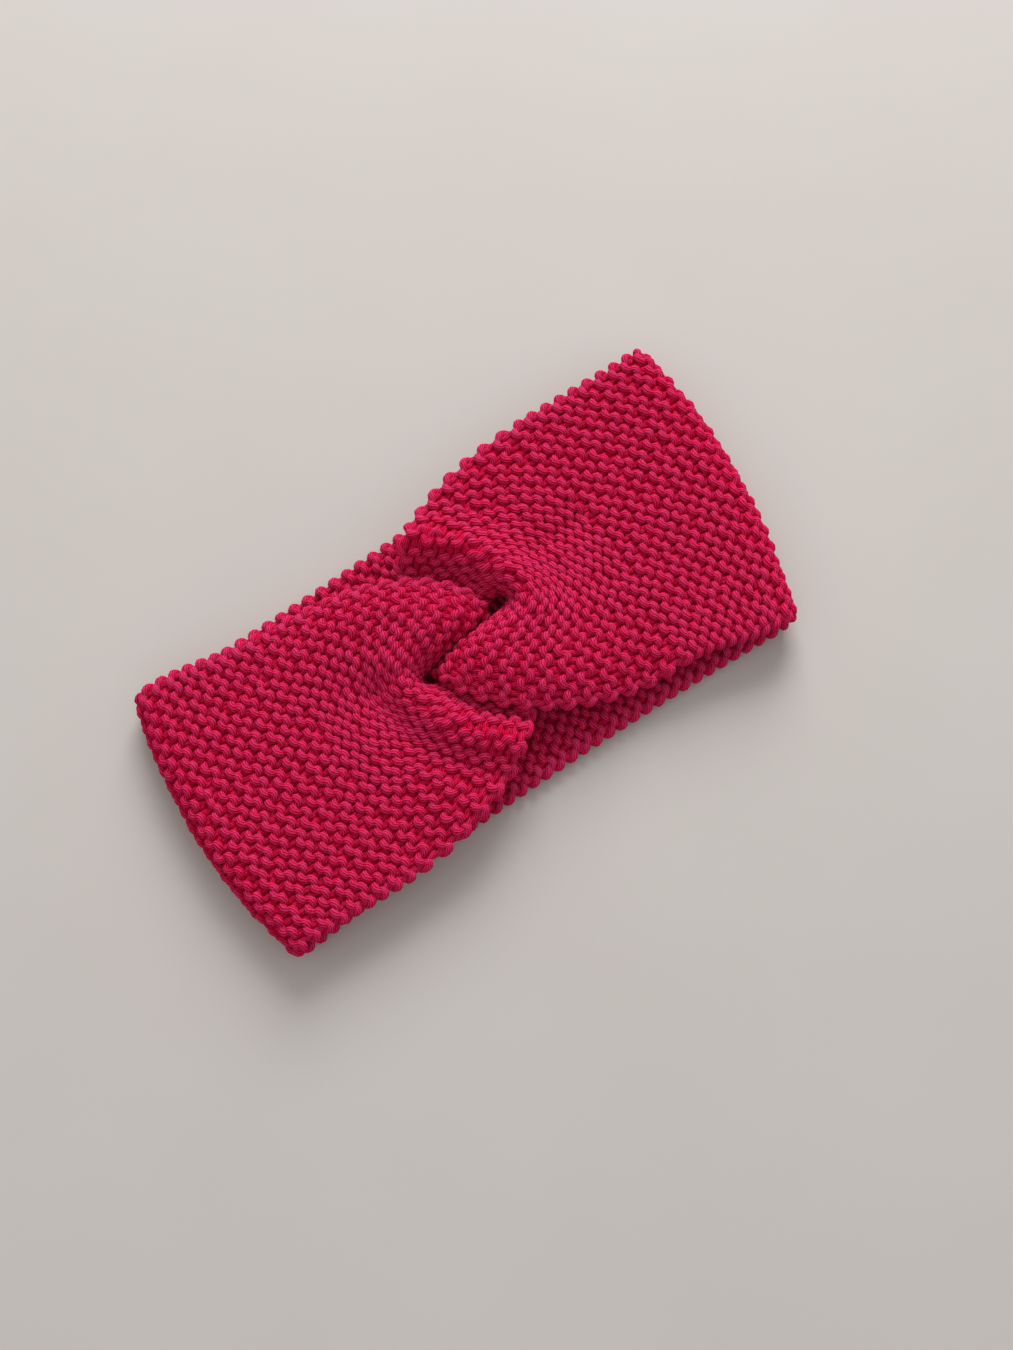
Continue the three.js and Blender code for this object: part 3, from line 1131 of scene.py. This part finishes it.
@dataclass
class JoiningSeam:
    """Sewing stitches that wrap the ends of the four layers under the twist."""

    form: StripForm
    stitches: int = 12
    layers: int = 4
    yarn_radius: float = 0.0009
    side_room: float = 0.0009
    end_room: float = 0.004
    squareness: float = 0.5
    wrap_points: int = 14
    smooth_steps: int = 3

    def build(self) -> list[bpy.types.Object]:
        """Makes the overcast stitches as one winding yarn along the turned seam.

        Returns:
            The one piece that this makes.
        """
        low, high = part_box(SEAM)
        bottom = low.z + self.yarn_radius
        top = high.z
        side = (self.layers - 1) / 2 * self.form.pitch + self.form.thickness / 2 + self.side_room
        reach = self.form.seam_half + self.form.pitch + self.form.thickness / 2 - self.end_room
        turn = np.arange(self.stitches * self.wrap_points) / self.wrap_points
        angle = 2 * np.pi * turn
        x = reach * (2 * turn / self.stitches - 1)
        y = side * np.sign(np.sin(angle)) * np.abs(np.sin(angle)) ** self.squareness
        z = (bottom + top) / 2 - (top - bottom) / 2 * np.cos(angle)
        cos, sin = math.cos(self.form.seam_turn), math.sin(self.form.seam_turn)
        middle = self.form.shift
        points = np.stack((middle[0] + x * cos - y * sin, middle[1] + x * sin + y * cos, z), axis=1)
        path = rounded(points, self.smooth_steps)
        piece = YarnTube(self.yarn_radius).build("joining_stitches", path)
        piece.data.materials.append(SEWING_WOOL.material())
        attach(piece, BODY)
        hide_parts(SEAM)
        return [piece]


@dataclass
class Studio:
    """Floor, light and camera.

    turn is the angle on the floor between the band's length and the picture's right. picture_height is what
    the picture takes in from bottom to top at the camera's distance: 1350 pixels, at 2750 to a metre.
    """

    turn: float = math.radians(35.15)
    tilt: float = math.radians(15.0)
    distance: float = 0.62
    picture_height: float = 1350 / 2750
    aim_right: float = 0.0125
    aim_up: float = -0.0073
    aim_band_x: float = -0.0030
    aim_band_y: float = -0.0034
    aim_height: float = 0.01
    sensor: float = 24.0
    floor_reach: float = 3.0
    light_up: float = 1.6
    light_right: float = 0.1
    light_height: float = 1.0
    light_size: float = 1.1
    light_power: float = 38.0
    light_colour: Colour = (1.0, 0.985, 0.97)
    room_colour: Colour = (1.0, 0.97, 0.95)
    room_strength: float = 0.58
    up: Vector = field(init=False)
    right: Vector = field(init=False)

    def __post_init__(self) -> None:
        """Works out the picture's axes on the floor."""
        self.up = Vector((math.sin(self.turn), math.cos(self.turn), 0.0))
        self.right = Vector((math.cos(self.turn), -math.sin(self.turn), 0.0))

    def place_camera(self) -> None:
        """Sets the camera over the floor, leaning towards the bottom of the picture."""
        data = bpy.data.cameras.new("camera")
        camera = show("camera", data)
        aim = Vector((self.aim_band_x, self.aim_band_y, self.aim_height))
        aim += self.right * self.aim_right + self.up * self.aim_up
        back = Vector((0, 0, 1)) * math.cos(self.tilt) - self.up * math.sin(self.tilt)
        top = back.cross(self.right)
        turn = Matrix((self.right, top, back)).transposed().to_4x4()
        camera.matrix_world = Matrix.Translation(aim + back * self.distance) @ turn
        data.sensor_width = self.sensor
        data.lens = self.sensor * self.distance / self.picture_height
        data.dof.use_dof = False
        bpy.context.scene.camera = camera

    def place_window(self) -> None:
        """Adds one soft square light beyond the upper edge of the picture, which looks at the band."""
        data = bpy.data.lights.new("window", "AREA")
        data.size = self.light_size
        data.energy = self.light_power
        data.color = self.light_colour
        spot = self.up * self.light_up + self.right * self.light_right + Vector((0, 0, self.light_height))
        light = show("window", data)
        light.location = spot
        light.rotation_euler = (-spot).to_track_quat("-Z", "Y").to_euler()

    def light_room(self) -> None:
        """Fills the room with pale light from all sides."""
        world = bpy.data.worlds.new("room")
        world.use_nodes = True
        background = world.node_tree.nodes["Background"]
        background.inputs["Color"].default_value = (*self.room_colour, 1.0)
        background.inputs["Strength"].default_value = self.room_strength
        bpy.context.scene.world = world

    def lay_floor(self) -> None:
        """Lays a wide pale floor round the band, far past the picture's edges."""
        mesh = bpy.data.meshes.new("floor")
        work = bmesh.new()
        bmesh.ops.create_grid(work, x_segments=1, y_segments=1, size=self.floor_reach)
        work.to_mesh(mesh)
        work.free()
        mesh.materials.append(PALE_FLOOR.material())
        floor = show("floor", mesh)

    def build(self) -> None:
        """Sets up the whole studio."""
        bpy.context.scene.view_settings.view_transform = "Standard"
        self.lay_floor()
        self.place_camera()
        self.place_window()
        self.light_room()


def main() -> None:
    """Builds the headband and its studio, piece by piece."""
    logging.basicConfig(level=logging.INFO, format="%(name)s: %(message)s")
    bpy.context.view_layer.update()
    form = StripForm()
    log.info("strip: %d rows in %s, wales %.4f m long", form.rows, form.section_rows, form.mean_length)
    for part in (GarterFabric(form), JoiningSeam(form)):
        for piece in part.build():
            log.info("%s: %d faces", piece.name, len(piece.data.polygons))
    Studio().build()


if __name__ == "__main__":
    main()
